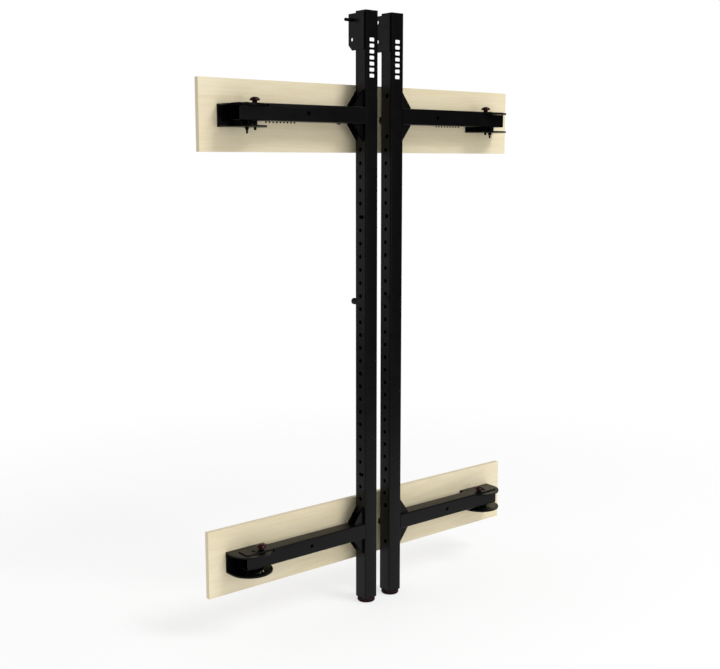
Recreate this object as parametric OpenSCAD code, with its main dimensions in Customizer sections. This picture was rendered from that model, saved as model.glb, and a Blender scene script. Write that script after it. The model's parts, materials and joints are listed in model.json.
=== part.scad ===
// Folding wall-mounted weight rack, folded flat against the wall.
// Two uprights hang on two arms each. The arms swing out 90 degrees about hinge bolts
// in brackets at the ends of two wall boards.
// Origin: at floor level, midway between the uprights and midway between the wall and
// the foremost point of the brackets. +X right, +Y into the wall, +Z up.
// The right-hand parts are modelled, and the left-hand ones are their mirror images.

/* [Uprights] */
// Outer side of the square steel tube of the uprights and arms
tube_side = 60; // [58:1:62]
// Wall thickness of the tubes
tube_wall = 3; // [2.5:0.5:3]
// Outer corner radius of the tubes
tube_corner = 4; // [3.5:0.5:6]
// Height from the floor to the top of the end caps
rack_height = 2276; // [2250:1:2400]
// Gap between the two folded uprights
upright_gap = 65; // [55:1:90]
// Thickness of the end cap's lip
cap_lip = 3; // [2:0.5:5]

/* [Rack holes] */
// Distance between neighbouring rack holes
hole_pitch = 50; // [50:1:51]
// Number of rows, the two keyed rows included
hole_rows = 28; // [24:1:28]
// Height of the lowest row above the floor
first_hole_z = 423; // [418:1:428]
// Diameter of the rack holes
rack_hole_d = 16; // [12:0.5:18]
// Rows with a round side hole and a slot instead of a rack hole, counted from 0
keyed_rows = [2, 22];
// Diameter of the large holes in the inner wall
side_hole_d = 18; // [17:0.5:20]
// Length of the slot in the outer wall of a keyed row
key_slot_w = 28; // [20:1:32]
// Height of the slot in the outer wall of a keyed row
key_slot_h = 14; // [10:1:16]
// How far the large holes and slots lie in front of the tube's centre line
side_hole_shift = 6; // [0:1:8]

/* [Arms] */
// Height of the lower arms' centre line
low_arm_z = 298; // [290:1:305]
// Distance from the lower arms' centre line to the upper arms'
arm_rise = 1600; // [1590:1:1605]
// Distance of the hinge axes from the middle of the rack
hinge_x = 595.5; // [590:0.5:600]
// Length of arm beyond the hinge axis
arm_overhang = 46.5; // [40:0.5:47]
// Distance of the small front hole from the middle, on three of the arms
arm_hole_x = 352.5; // [300:0.5:400]
// The same on the upper right arm, whose hole lies further in
inner_arm_hole_x = 274; // [250:1:300]
// Diameter of the small front hole
arm_hole_d = 14; // [8:1:18]

/* [Gussets] */
// Length of a gusset along its arm
gusset_leg = 48; // [40:1:60]
// Height of a gusset along its upright
gusset_rise = 63; // [60:1:75]
// Width of a gusset over both cheeks
gusset_w = 40; // [36:1:46]
// Sheet thickness of the gussets
gusset_t = 4; // [3:0.5:5]
// Distance of the arm bolts from the arm's centre line
arm_bolt_offset = 75; // [70:1:80]

/* [Wall boards] */
// Length of a wall board
board_w = 1500; // [1450:1:1600]
// Height of a wall board
board_h = 250; // [220:1:300]
// Thickness of a wall board
board_t = 20; // [18:1:20]
// How far a board's centre line lies below its arms' centre line
board_drop = 11; // [5:1:15]
// Distances of the wall bolt holes from the middle
wall_hole_x = [66, 147];
// How far each of them lies below the board's centre line
wall_hole_drop = [2, 6];
// Diameter of the wall bolt holes
wall_hole_d = 12; // [8:1:14]
// Diameter of their counterbores
wall_counterbore_d = 33; // [26:1:36]
// Depth of their counterbores
wall_counterbore_depth = 6; // [3:1:10]
// Number of small screw holes in a row behind each arm
screw_holes = 9; // [5:1:11]
// Distance of the first small screw hole from the middle
screw_row_x = 350; // [300:1:380]
// Distance between neighbouring small screw holes
screw_pitch = 15.6; // [12:0.1:18]
// Diameter of the small screw holes
screw_hole_d = 8; // [4:0.5:9]
// Height of the row below the arm's centre line
screw_row_drop = 30; // [20:1:35]

/* [Hinge brackets] */
// Distance from a board's front face to the hinge axis
hinge_to_board = 60.5; // [60:0.5:66]
// How far the flanges reach in front of the hinge axis
bracket_reach = 60; // [56:1:68]
// Half the width of a bracket, and the radius of the flanges' round fronts
bracket_half_w = 82; // [78:1:90]
// Thickness of the flanges
flange_t = 6; // [5:0.5:6]
// Thickness of the back plate
back_plate_t = 4; // [3:0.5:4]
// Top of the upper flange above the arm's centre line
bracket_top = 26.5; // [25.5:0.5:26.5]
// Bottom of the lower flange below the arm's centre line
bracket_drop = 52; // [44:1:56]
// Distance of the bracket bolts from the hinge axis, along the board
bracket_bolt_x = 56; // [50:1:64]
// Distance between the upper and lower bracket bolts
bracket_bolt_rise = 34; // [26:1:36]

/* [Hinges and locks] */
// Diameter of a hinge bolt's shoulder
hinge_bolt_d = 10; // [9:0.5:12]
// Radial running clearance of the moving fits
running_gap = 0.05; // [0.02:0.01:0.1]
// Distance of a lock pin from its hinge axis
lock_radius = 31; // [31:0.5:33]
// How far forward the folded lock pins are turned about the hinge axes, in degrees
lock_angle = 8; // [0:1:10]
// Diameter of a lock pin
lock_pin_d = 10; // [8:1:12]
// Diameter of a lock pin's knob
knob_d = 37; // [28:1:40]
// Height of a lock pin's knob
knob_h = 21; // [17:1:24]

/* [Top plates] */
// Width of a top plate, from front to back
top_plate_w = 89; // [80:1:90]
// Height of a top plate
top_plate_h = 133; // [110:1:150]
// Thickness of a top plate
top_plate_t = 4; // [3:0.5:5]
// Chamfer of the lower back corner
top_plate_chamfer = 20; // [10:1:25]
// Diameter of the bolt holes
top_hole_d = 13; // [8:0.5:14]
// Diameter of the pull pin's hole, the upper hole of the left plate
top_pin_hole_d = 12; // [9:0.5:14]
// Distance between the two holes
top_hole_rise = 70.5; // [60:0.5:80]

/* [Feet and buffer] */
// Diameter of a foot
foot_d = 70; // [50:1:72]
// Height of a foot
foot_h = 17; // [14:1:25]
// Diameter of a foot's stud
foot_stud_d = 12; // [10:1:16]
// Diameter of the wall buffer
buffer_d = 25; // [18:1:30]
// Height of the wall buffer above the floor
buffer_z = 1195; // [1185:1:1205]

/* [Hidden] */
$fn = 48;

// Sides, as factors of X, and the two levels of the arms
left = -1;
right = 1;
high_arm_z = low_arm_z + arm_rise;
arm_levels = [low_arm_z, high_arm_z];

// Front to back: the depth runs from the flanges' fronts to the boards' back faces
depth = bracket_reach + hinge_to_board + board_t;
wall_y = depth / 2;
board_front_y = wall_y - board_t;
hinge_y = board_front_y - hinge_to_board;
half_tube = tube_side / 2;
tube_bore = tube_side - 2 * tube_wall;

// Uprights
upright_x = (upright_gap + tube_side) / 2;
inner_face_x = upright_gap / 2;
outer_face_x = inner_face_x + tube_side;
tube_top = rack_height - cap_lip;
tube_length = tube_top - foot_h;
side_hole_y = hinge_y - side_hole_shift;
cap_stem = 20;
back_face_y = hinge_y + half_tube;

// Chamfer on the free ends of bolts and pins
tip_chamfer = 2;

// Arm bolts: socket-head screws inside the upright, nuts on the gussets
arm_bolt_d = 10;
arm_bolt_hole_d = 11;
arm_bolt_head_d = 16;
arm_bolt_head_h = 10;
arm_socket_af = 8;
arm_socket_depth = 5;
arm_nut_af = 17;
arm_nut_h = 8;
arm_bolt_tip = 6;

// Arm ends: the notch lets the upper flange reach in under the arm's top wall
notch_bottom = 19;
notch_top = half_tube - tube_wall;
notch_gap = 6;
face_gap = 0.2;

// Hinge bolt with a shoulder and a thinner thread, nut, washer, spacer and bush
hinge_head_d = 16;
hinge_head_h = 6;
hinge_head_hole_d = 17.5;
hinge_socket_af = 5;
hinge_socket_depth = 2;
hinge_thread_d = 8;
hinge_nut_af = 13;
hinge_nut_h = 8;
hinge_washer_d = 17;
hinge_washer_t = 1.6;
hinge_bolt_tip = 12.4;
bush_d = 20;
spacer_d = 30;
lower_flange_top = flange_t - bracket_drop;
upper_flange_bottom = bracket_top - flange_t;
bracket_middle = (bracket_top - bracket_drop) / 2;

// Lock pins
lock_slot_gap = 0.25;
lock_pin_tip = 10;
knob_neck_d = 20;
knob_neck_h = 6;
knob_edge_r = 4;
knob_stem = 12;

// Bracket bolts and tee nuts
bracket_bolt_d = 8;
bracket_bolt_hole_d = 9;
bracket_head_d = 14;
bracket_head_h = 4;
bracket_socket_af = 5;
bracket_socket_depth = 2;
tee_nut_d = 10;
tee_nut_flange_d = 22;
tee_nut_flange_t = 1.6;
tee_nut_length = 14;
bracket_bolt_length = back_plate_t + tee_nut_length;

// Top plates: flat bars on the left-hand wall of both uprights
top_plate_drop = 8;
top_plate_reach = 65;
top_hole_reach = 46;
top_hole_inset = 23;
top_plate_top = rack_height - top_plate_drop;
top_plate_front_y = hinge_y + top_plate_reach - top_plate_w;
top_hole_y = hinge_y + top_hole_reach;
top_hole_high_z = top_plate_top - top_hole_inset;
top_holes_z = [top_hole_high_z - top_hole_rise, top_hole_high_z];
top_pin_head_d = 18;
top_pin_head_h = 6;
top_pin_reach = 30.5;

// Feet
foot_edge_r = 6;
foot_top_r = 2;
foot_plug_h = 25;
foot_stud_top = 62;
foot_stud_sink = 9;

// Wall buffer
buffer_wall_gap = 1;
buffer_length = wall_y - buffer_wall_gap - back_face_y;
buffer_stud_d = 8;
buffer_stud_hole_d = 9;
buffer_stud_sink = 15;
buffer_stud_end = 4;
buffer_nut_af = 13;
buffer_nut_h = 6.5;

// Mirrors the right-hand part for the left-hand side
module on_side(side) {
    if (side == left) mirror([1, 0, 0]) children();
    else children();
}

// A cylinder along +X from x
module rod_x(x, length, d, y, z) {
    translate([x, y, z]) rotate([0, 90, 0]) cylinder(h = length, d = d);
}

// A cylinder along +Y from y
module rod_y(y, length, d, x, z) {
    translate([x, y, z]) rotate([-90, 0, 0]) cylinder(h = length, d = d);
}

// A tube along Z standing on z
module ring_z(z, height, outer_d, inner_d) {
    translate([0, 0, z]) difference() {
        cylinder(h = height, d = outer_d);
        translate([0, 0, -1]) cylinder(h = height + 2, d = inner_d);
    }
}

// A hexagon by its distance across flats, with two flats facing +Y and -Y
module hexagon(af) {
    circle(d = af / cos(30), $fn = 6);
}

module rounded_square(side, r) {
    square([side - 2 * r, side], center = true);
    square([side, side - 2 * r], center = true);
    for (sx = [-1, 1], sy = [-1, 1])
        translate([sx * (side / 2 - r), sy * (side / 2 - r)]) circle(r = r);
}

// Inside of the tube, a little rounder than sharp
module bore_profile() {
    rounded_square(tube_bore, max(tube_corner - tube_wall, 0.5));
}

module tube_profile() {
    difference() {
        rounded_square(tube_side, tube_corner);
        bore_profile();
    }
}

// Puts children at the right-hand hinge axis of one arm level, z = 0 on the arm's centre line
module at_hinge(level) {
    translate([hinge_x, hinge_y, level]) children();
}

// ---- Wall boards ----

module wall_board(level) {
    board_z = level - board_drop;
    color("burlywood") difference() {
        translate([-board_w / 2, board_front_y, board_z - board_h / 2])
            cube([board_w, board_t, board_h]);
        for (side = [left, right]) {
            for (i = [0 : len(wall_hole_x) - 1]) {
                x = side * wall_hole_x[i];
                z = board_z - wall_hole_drop[i];
                rod_y(board_front_y - 1, board_t + 2, wall_hole_d, x, z);
                rod_y(board_front_y - 1, wall_counterbore_depth + 1, wall_counterbore_d, x, z);
            }
            for (i = [0 : screw_holes - 1])
                rod_y(board_front_y - 1, board_t + 2, screw_hole_d,
                      side * (screw_row_x + i * screw_pitch), level - screw_row_drop);
            for (dx = [-1, 1], dz = [-1, 1]) {
                bolt_x = side * (hinge_x + dx * bracket_bolt_x);
                bolt_z = level + bracket_middle + dz * bracket_bolt_rise / 2;
                rod_y(board_front_y - 1, board_t + 2, tee_nut_d, bolt_x, bolt_z);
                rod_y(wall_y - tee_nut_flange_t, tee_nut_flange_t + 1, tee_nut_flange_d,
                      bolt_x, bolt_z);
            }
        }
    }
}

// ---- Hinge brackets ----

// Outline of a flange about the hinge axis: a half circle in front and straight flanks back
// to the board. grow widens it all round, but not past the board.
module flange_outline(grow) {
    front_r = bracket_half_w + grow;
    front_y = bracket_half_w - bracket_reach;
    intersection() {
        translate([0, front_y]) circle(r = front_r, $fn = 96);
        translate([-front_r, front_y - front_r]) square([2 * front_r, front_r]);
    }
    translate([-front_r, front_y]) square([2 * front_r, hinge_to_board - front_y]);
}

// Curved slot from the folded to the open place of the lock pin
module lock_slot() {
    slot_r = lock_pin_d / 2 + lock_slot_gap;
    intersection() {
        difference() {
            circle(r = lock_radius + slot_r);
            circle(r = lock_radius - slot_r);
        }
        translate([-2 * lock_radius, -2 * lock_radius]) square(2 * lock_radius);
    }
    translate([-lock_radius, 0]) circle(r = slot_r);
    translate([0, -lock_radius]) circle(r = slot_r);
}

module flange() {
    linear_extrude(flange_t) difference() {
        flange_outline(0);
        circle(d = hinge_bolt_d + 2 * running_gap);
        rotate(lock_angle) lock_slot();
        rotate(-lock_angle) translate([lock_radius, 0])
            circle(d = lock_pin_d + 2 * lock_slot_gap);
    }
}

module hinge_bracket(side, level) {
    color("dimgray") on_side(side) at_hinge(level) difference() {
        union() {
            translate([-bracket_half_w, hinge_to_board - back_plate_t, -bracket_drop])
                cube([2 * bracket_half_w, back_plate_t, bracket_drop + bracket_top]);
            translate([0, 0, -bracket_drop]) flange();
            translate([0, 0, upper_flange_bottom]) flange();
        }
        for (dx = [-1, 1], dz = [-1, 1])
            rod_y(hinge_to_board - back_plate_t - 1, back_plate_t + 2, bracket_bolt_hole_d,
                  dx * bracket_bolt_x, bracket_middle + dz * bracket_bolt_rise / 2);
    }
}

// Puts children at every bracket bolt, with +Z pointing into the board
module at_bracket_bolts() {
    for (side = [left, right], level = arm_levels, dx = [-1, 1], dz = [-1, 1])
        translate([side * hinge_x + dx * bracket_bolt_x, board_front_y,
                   level + bracket_middle + dz * bracket_bolt_rise / 2])
            rotate([-90, 0, 0]) children();
}

module bracket_bolts() {
    color("gray") at_bracket_bolts() {
        translate([0, 0, -back_plate_t]) cylinder(h = bracket_bolt_length, d = bracket_bolt_d);
        translate([0, 0, -back_plate_t - bracket_head_h]) difference() {
            cylinder(h = bracket_head_h, d = bracket_head_d);
            translate([0, 0, -1]) linear_extrude(1 + bracket_socket_depth)
                hexagon(bracket_socket_af);
        }
    }
}

module bracket_tee_nuts() {
    color("silver") at_bracket_bolts() {
        ring_z(board_t - tee_nut_length, tee_nut_length, tee_nut_d, bracket_bolt_d);
        ring_z(board_t - tee_nut_flange_t, tee_nut_flange_t, tee_nut_flange_d, bracket_bolt_d);
    }
}

// ---- Hinge bolts and what is on them ----

module at_hinges() {
    for (side = [left, right], level = arm_levels) on_side(side) at_hinge(level) children();
}

module hinge_bolts() {
    thread = hinge_washer_t + hinge_nut_h + hinge_bolt_tip;
    color("gray") at_hinges() {
        translate([0, 0, -bracket_drop - thread])
            cylinder(h = tip_chamfer, d1 = hinge_thread_d - 2 * tip_chamfer, d2 = hinge_thread_d);
        translate([0, 0, tip_chamfer - bracket_drop - thread])
            cylinder(h = thread - tip_chamfer, d = hinge_thread_d);
        translate([0, 0, -bracket_drop])
            cylinder(h = bracket_drop + bracket_top, d = hinge_bolt_d);
        translate([0, 0, bracket_top]) difference() {
            cylinder(h = hinge_head_h, d = hinge_head_d);
            translate([0, 0, hinge_head_h - hinge_socket_depth])
                linear_extrude(hinge_head_h) hexagon(hinge_socket_af);
        }
    }
}

module hinge_nuts() {
    color("gray") at_hinges() translate([0, 0, -bracket_drop - hinge_washer_t - hinge_nut_h])
        linear_extrude(hinge_nut_h) difference() {
            hexagon(hinge_nut_af);
            circle(d = hinge_thread_d);
        }
}

module hinge_washers() {
    color("silver") at_hinges()
        ring_z(-bracket_drop - hinge_washer_t, hinge_washer_t, hinge_washer_d,
               hinge_thread_d + 2 * running_gap);
}

module hinge_spacers() {
    height = -half_tube - face_gap - lower_flange_top;
    color("gray") at_hinges()
        ring_z(lower_flange_top, height, spacer_d, hinge_bolt_d + 2 * running_gap);
}

// ---- Uprights ----

// Whether a row has a slot instead of a rack hole
function is_keyed(row) = len([for (k = keyed_rows) if (k == row) k]) > 0;

module key_slot(z) {
    reach = (key_slot_w - key_slot_h) / 2;
    translate([outer_face_x - 2 * tube_wall, side_hole_y, z]) rotate([0, 90, 0])
        linear_extrude(3 * tube_wall) {
            square([key_slot_h, 2 * reach], center = true);
            for (dy = [-reach, reach]) translate([0, dy]) circle(d = key_slot_h);
        }
}

module upright_holes() {
    for (row = [0 : hole_rows - 1]) {
        z = first_hole_z + row * hole_pitch;
        if (is_keyed(row)) {
            rod_x(inner_face_x - 1, half_tube, side_hole_d, side_hole_y, z);
            key_slot(z);
        } else {
            rod_x(inner_face_x - 1, tube_side + 2, rack_hole_d, hinge_y, z);
        }
    }
    for (level = arm_levels, dz = [-arm_bolt_offset, arm_bolt_offset]) {
        rod_x(inner_face_x - 1, half_tube, side_hole_d, side_hole_y, level + dz);
        rod_x(upright_x, half_tube + 1, arm_bolt_hole_d, side_hole_y, level + dz);
    }
}

module upright(side) {
    color([0.1, 0.1, 0.1]) on_side(side) difference() {
        translate([upright_x, hinge_y, foot_h]) linear_extrude(tube_length) tube_profile();
        upright_holes();
        if (side == left) rod_y(hinge_y, half_tube + 1, buffer_stud_hole_d, upright_x, buffer_z);
    }
}

module end_cap(side) {
    color([0.12, 0.12, 0.12]) on_side(side) translate([upright_x, hinge_y, tube_top]) {
        linear_extrude(cap_lip) rounded_square(tube_side, tube_corner);
        translate([0, 0, -cap_stem]) linear_extrude(cap_stem) difference() {
            bore_profile();
            square(tube_bore - 2 * tube_wall, center = true);
        }
    }
}

// ---- Top plates ----

// Left-hand faces of the uprights, which the top plates lie on
function left_wall_x(side) = side == left ? -outer_face_x : inner_face_x;

module top_plate(side) {
    back = top_plate_w;
    cut = top_plate_chamfer;
    color([0.1, 0.1, 0.1]) difference() {
        translate([left_wall_x(side) - top_plate_t, top_plate_front_y, top_plate_top - top_plate_h])
            rotate([90, 0, 90]) linear_extrude(top_plate_t)
                polygon([[0, 0], [back - cut, 0], [back, cut],
                         [back, top_plate_h], [0, top_plate_h]]);
        for (z = top_holes_z)
            rod_x(left_wall_x(side) - top_plate_t - 1, top_plate_t + 2,
                  side == left && z == top_hole_high_z ? top_pin_hole_d : top_hole_d, top_hole_y, z);
    }
}

// Round pin in the upper hole of the left plate, its head on the plate's right-hand face
module top_plate_pin() {
    pin_d = top_pin_hole_d - 2 * running_gap;
    plate_x = left_wall_x(left);
    pin_length = top_plate_t + top_pin_reach;
    color("dimgray") {
        rod_x(plate_x - pin_length, pin_length, pin_d, top_hole_y, top_hole_high_z);
        rod_x(plate_x, top_pin_head_h, top_pin_head_d, top_hole_y, top_hole_high_z);
        translate([plate_x - pin_length, top_hole_y, top_hole_high_z]) rotate([0, -90, 0])
            cylinder(h = tip_chamfer, d1 = pin_d, d2 = pin_d - 2 * tip_chamfer);
    }
}

// ---- Arms ----

module arm(side, level, front_hole_x) {
    arm_end_x = hinge_x + arm_overhang;
    color([0.1, 0.1, 0.1]) on_side(side) difference() {
        translate([outer_face_x, hinge_y, level]) rotate([90, 0, 90])
            linear_extrude(arm_end_x - outer_face_x) tube_profile();
        rod_y(hinge_y - half_tube - 1, tube_wall + 2, arm_hole_d, front_hole_x, level);
        at_hinge(level) {
            translate([0, 0, notch_bottom]) linear_extrude(notch_top - notch_bottom)
                flange_outline(notch_gap);
            translate([0, 0, notch_top - 1]) cylinder(h = tube_wall + 2, d = hinge_head_hole_d);
            translate([0, 0, -half_tube - 1]) cylinder(h = tube_wall + 2, d = bush_d);
            rotate(lock_angle) translate([-lock_radius, 0, -half_tube - 1])
                cylinder(h = tube_side + 2, d = lock_pin_d + 2 * running_gap);
        }
    }
}

// Bushes welded into the arms' bottom walls, running on the hinge bolts
module pivot_bushes(side) {
    height = upper_flange_bottom - face_gap + half_tube;
    color("silver") on_side(side) for (level = arm_levels)
        at_hinge(level)
            ring_z(-half_tube, height, bush_d, hinge_bolt_d + 2 * running_gap);
}

// ---- Gussets ----

// Folded sheet: a web on the upright with the bolt hole, and two cheeks down to the arm.
// up is 1 above the arm and -1 below it.
module gusset(side, level, up) {
    color([0.1, 0.1, 0.1]) on_side(side) difference() {
        translate([outer_face_x, hinge_y, level]) mirror([0, 0, up == 1 ? 0 : 1])
            translate([0, 0, half_tube]) {
                translate([0, -gusset_w / 2, 0]) cube([gusset_t, gusset_w, gusset_rise]);
                for (y = [-gusset_w / 2, gusset_w / 2 - gusset_t])
                    translate([0, y + gusset_t, 0]) rotate([90, 0, 0]) linear_extrude(gusset_t)
                        polygon([[0, 0], [gusset_leg, 0], [gusset_leg, gusset_t],
                                 [gusset_t, gusset_rise], [0, gusset_rise]]);
            }
        rod_x(outer_face_x - 1, gusset_t + 2, arm_bolt_hole_d, side_hole_y,
              level + up * arm_bolt_offset);
    }
}

// Puts children at every arm bolt of the right-hand side, with +Z along +X
module at_arm_bolts() {
    for (level = arm_levels, dz = [-arm_bolt_offset, arm_bolt_offset])
        translate([outer_face_x, side_hole_y, level + dz]) rotate([0, 90, 0]) children();
}

module arm_bolts(side) {
    grip = tube_wall + gusset_t + arm_nut_h + arm_bolt_tip;
    color("gray") on_side(side) at_arm_bolts() {
        translate([0, 0, -tube_wall]) cylinder(h = grip, d = arm_bolt_d);
        translate([0, 0, -tube_wall - arm_bolt_head_h]) difference() {
            cylinder(h = arm_bolt_head_h, d = arm_bolt_head_d);
            translate([0, 0, -1]) linear_extrude(1 + arm_socket_depth) hexagon(arm_socket_af);
        }
    }
}

module arm_nuts(side) {
    color("gray") on_side(side) at_arm_bolts() translate([0, 0, gusset_t])
        linear_extrude(arm_nut_h) difference() {
            hexagon(arm_nut_af);
            circle(d = arm_bolt_d);
        }
}

// ---- Lock pins ----

module at_lock_pin(side, level) {
    on_side(side) at_hinge(level) rotate(lock_angle) translate([-lock_radius, 0, 0]) children();
}

module lock_pin(side, level) {
    pin_bottom = -bracket_drop - lock_pin_tip;
    color("dimgray") at_lock_pin(side, level) {
        translate([0, 0, pin_bottom])
            cylinder(h = tip_chamfer, d1 = lock_pin_d - 2 * tip_chamfer, d2 = lock_pin_d);
        translate([0, 0, pin_bottom + tip_chamfer])
            cylinder(h = half_tube + knob_stem - pin_bottom - tip_chamfer, d = lock_pin_d);
    }
}

module lock_knob(side, level) {
    bore_r = lock_pin_d / 2;
    knob_r = knob_d / 2;
    color([0.35, 0.06, 0.12]) at_lock_pin(side, level)
        translate([0, 0, half_tube + face_gap]) rotate_extrude(angle = 360) {
            difference() {
                union() {
                    square([knob_neck_d / 2, knob_neck_h]);
                    translate([0, knob_neck_h])
                        square([knob_r - knob_edge_r, knob_h - knob_neck_h]);
                    translate([0, knob_neck_h + knob_edge_r])
                        square([knob_r, knob_h - knob_neck_h - 2 * knob_edge_r]);
                    for (z = [knob_neck_h + knob_edge_r, knob_h - knob_edge_r])
                        translate([knob_r - knob_edge_r, z]) circle(r = knob_edge_r);
                }
                square([bore_r, knob_stem - face_gap]);
            }
        }
}

// ---- Feet ----

module foot_plug(side) {
    color([0.12, 0.12, 0.12]) on_side(side) translate([upright_x, hinge_y, foot_h])
        linear_extrude(foot_plug_h) difference() {
            bore_profile();
            circle(d = foot_stud_d + 2 * running_gap);
        }
}

module foot_stud(side) {
    color("gray") on_side(side) translate([upright_x, hinge_y, foot_stud_sink])
        cylinder(h = foot_stud_top - foot_stud_sink, d = foot_stud_d);
}

module foot_pad(side) {
    pad_h = foot_h - face_gap;
    pad_r = foot_d / 2;
    color([0.3, 0.05, 0.1]) on_side(side) translate([upright_x, hinge_y, 0])
        rotate_extrude(angle = 360) difference() {
            union() {
                square([pad_r - foot_edge_r, pad_h]);
                translate([0, foot_edge_r]) square([pad_r, pad_h - foot_edge_r - foot_top_r]);
                translate([0, foot_edge_r]) square([pad_r - foot_top_r, pad_h - foot_edge_r]);
                translate([pad_r - foot_edge_r, foot_edge_r]) circle(r = foot_edge_r);
                translate([pad_r - foot_top_r, pad_h - foot_top_r]) circle(r = foot_top_r);
            }
            translate([0, foot_stud_sink]) square([foot_stud_d / 2, pad_h]);
        }
}

// ---- Wall buffer on the left upright ----

module wall_buffer() {
    color([0.08, 0.08, 0.08]) difference() {
        rod_y(back_face_y, buffer_length, buffer_d, -upright_x, buffer_z);
        rod_y(back_face_y - 1, buffer_stud_sink + 1, buffer_stud_d, -upright_x, buffer_z);
    }
}

module buffer_stud() {
    stud_start = back_face_y - tube_wall - buffer_nut_h - buffer_stud_end;
    color("gray") rod_y(stud_start, back_face_y + buffer_stud_sink - stud_start, buffer_stud_d,
                        -upright_x, buffer_z);
}

module buffer_nut() {
    color("gray") translate([-upright_x, back_face_y - tube_wall - buffer_nut_h, buffer_z])
        rotate([-90, 0, 0]) linear_extrude(buffer_nut_h) difference() {
            hexagon(buffer_nut_af);
            circle(d = buffer_stud_d);
        }
}

wall_board(high_arm_z);  // wall_board_upper
wall_board(low_arm_z);  // wall_board_lower
hinge_bracket(left, high_arm_z);  // hinge_bracket_upper_left
hinge_bracket(right, high_arm_z);  // hinge_bracket_upper_right
hinge_bracket(left, low_arm_z);  // hinge_bracket_lower_left
hinge_bracket(right, low_arm_z);  // hinge_bracket_lower_right
bracket_bolts();
bracket_tee_nuts();
hinge_bolts();
hinge_nuts();
hinge_washers();
hinge_spacers();
upright(left);  // upright_left
upright(right);  // upright_right
end_cap(left);  // end_cap_left
end_cap(right);  // end_cap_right
top_plate(left);  // top_plate_left
top_plate(right);  // top_plate_right
top_plate_pin();
arm(left, high_arm_z, arm_hole_x);  // arm_upper_left
arm(right, high_arm_z, inner_arm_hole_x);  // arm_upper_right
arm(left, low_arm_z, arm_hole_x);  // arm_lower_left
arm(right, low_arm_z, arm_hole_x);  // arm_lower_right
gusset(left, high_arm_z, 1);  // gusset_upper_left_top
gusset(left, high_arm_z, -1);  // gusset_upper_left_bottom
gusset(right, high_arm_z, 1);  // gusset_upper_right_top
gusset(right, high_arm_z, -1);  // gusset_upper_right_bottom
gusset(left, low_arm_z, 1);  // gusset_lower_left_top
gusset(left, low_arm_z, -1);  // gusset_lower_left_bottom
gusset(right, low_arm_z, 1);  // gusset_lower_right_top
gusset(right, low_arm_z, -1);  // gusset_lower_right_bottom
arm_bolts(left);  // arm_bolts_left
arm_bolts(right);  // arm_bolts_right
arm_nuts(left);  // arm_nuts_left
arm_nuts(right);  // arm_nuts_right
pivot_bushes(left);  // pivot_bushes_left
pivot_bushes(right);  // pivot_bushes_right
lock_pin(left, high_arm_z);  // lock_pin_upper_left
lock_pin(right, high_arm_z);  // lock_pin_upper_right
lock_pin(left, low_arm_z);  // lock_pin_lower_left
lock_pin(right, low_arm_z);  // lock_pin_lower_right
lock_knob(left, high_arm_z);  // lock_knob_upper_left
lock_knob(right, high_arm_z);  // lock_knob_upper_right
lock_knob(left, low_arm_z);  // lock_knob_lower_left
lock_knob(right, low_arm_z);  // lock_knob_lower_right
foot_plug(left);  // foot_plug_left
foot_plug(right);  // foot_plug_right
foot_stud(left);  // foot_stud_left
foot_stud(right);  // foot_stud_right
foot_pad(left);  // foot_pad_left
foot_pad(right);  // foot_pad_right
wall_buffer();
buffer_stud();
buffer_nut();
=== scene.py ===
"""Folding wall-mounted weight rack, folded flat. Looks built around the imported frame, in metres."""

import json
import math

import bmesh
import bpy
from mathutils import Matrix, Vector


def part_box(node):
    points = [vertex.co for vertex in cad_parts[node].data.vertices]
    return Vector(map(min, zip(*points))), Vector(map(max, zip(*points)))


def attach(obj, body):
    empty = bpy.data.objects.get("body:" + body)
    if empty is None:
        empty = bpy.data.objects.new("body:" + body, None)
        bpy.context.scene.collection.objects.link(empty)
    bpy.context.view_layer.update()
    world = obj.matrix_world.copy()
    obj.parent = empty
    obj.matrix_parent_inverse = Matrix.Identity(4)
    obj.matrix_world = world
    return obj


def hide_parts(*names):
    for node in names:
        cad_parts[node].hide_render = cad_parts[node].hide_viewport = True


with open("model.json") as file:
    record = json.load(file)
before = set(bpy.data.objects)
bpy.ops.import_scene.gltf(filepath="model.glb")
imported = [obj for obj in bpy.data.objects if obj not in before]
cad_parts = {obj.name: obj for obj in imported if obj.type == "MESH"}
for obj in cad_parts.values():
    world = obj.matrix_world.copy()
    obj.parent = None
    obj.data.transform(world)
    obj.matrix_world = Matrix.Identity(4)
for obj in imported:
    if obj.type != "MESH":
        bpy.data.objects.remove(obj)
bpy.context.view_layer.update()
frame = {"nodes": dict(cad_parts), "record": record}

SIDES = ("left", "right")
LEVELS = ("upper", "lower")
MM = 0.001

SAME_POINT = 2e-6       # points of a CAD mesh that are this close are one point

BODY_OF = {}
for body_name, members in frame["record"]["behaviour"]["bodies"].items():
    for member in members:
        BODY_OF[member] = body_name


# ---------------------------------------------------------------- shapes and places from the frame

def welded(node):
    """The CAD node's shape, each point of it only once."""
    bm = bmesh.new()
    bm.from_mesh(frame["nodes"][node].data)
    bmesh.ops.remove_doubles(bm, verts=bm.verts, dist=SAME_POINT)
    return bm


def solids(node):
    """The lowest and highest corner of each separate solid in a CAD node."""
    bm = welded(node)
    todo = set(bm.verts)
    boxes = []
    while todo:
        front = [todo.pop()]
        found = list(front)
        while front:
            for edge in front.pop().link_edges:
                for vert in edge.verts:
                    if vert in todo:
                        todo.discard(vert)
                        found.append(vert)
                        front.append(vert)
        boxes.append([Vector([pick(vert.co[i] for vert in found) for i in range(3)])
                      for pick in (min, max)])
    bm.free()
    return sorted(boxes, key=lambda box: tuple(round(value, 4) for value in box[0]))


def sign_of(side):
    return -1 if side == "left" else 1


def along_axis(origin, direction):
    """A place whose Z axis points in direction."""
    turn = Vector((0, 0, 1)).rotation_difference(Vector(direction)).to_matrix().to_4x4()
    return Matrix.Translation(origin) @ turn


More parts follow.
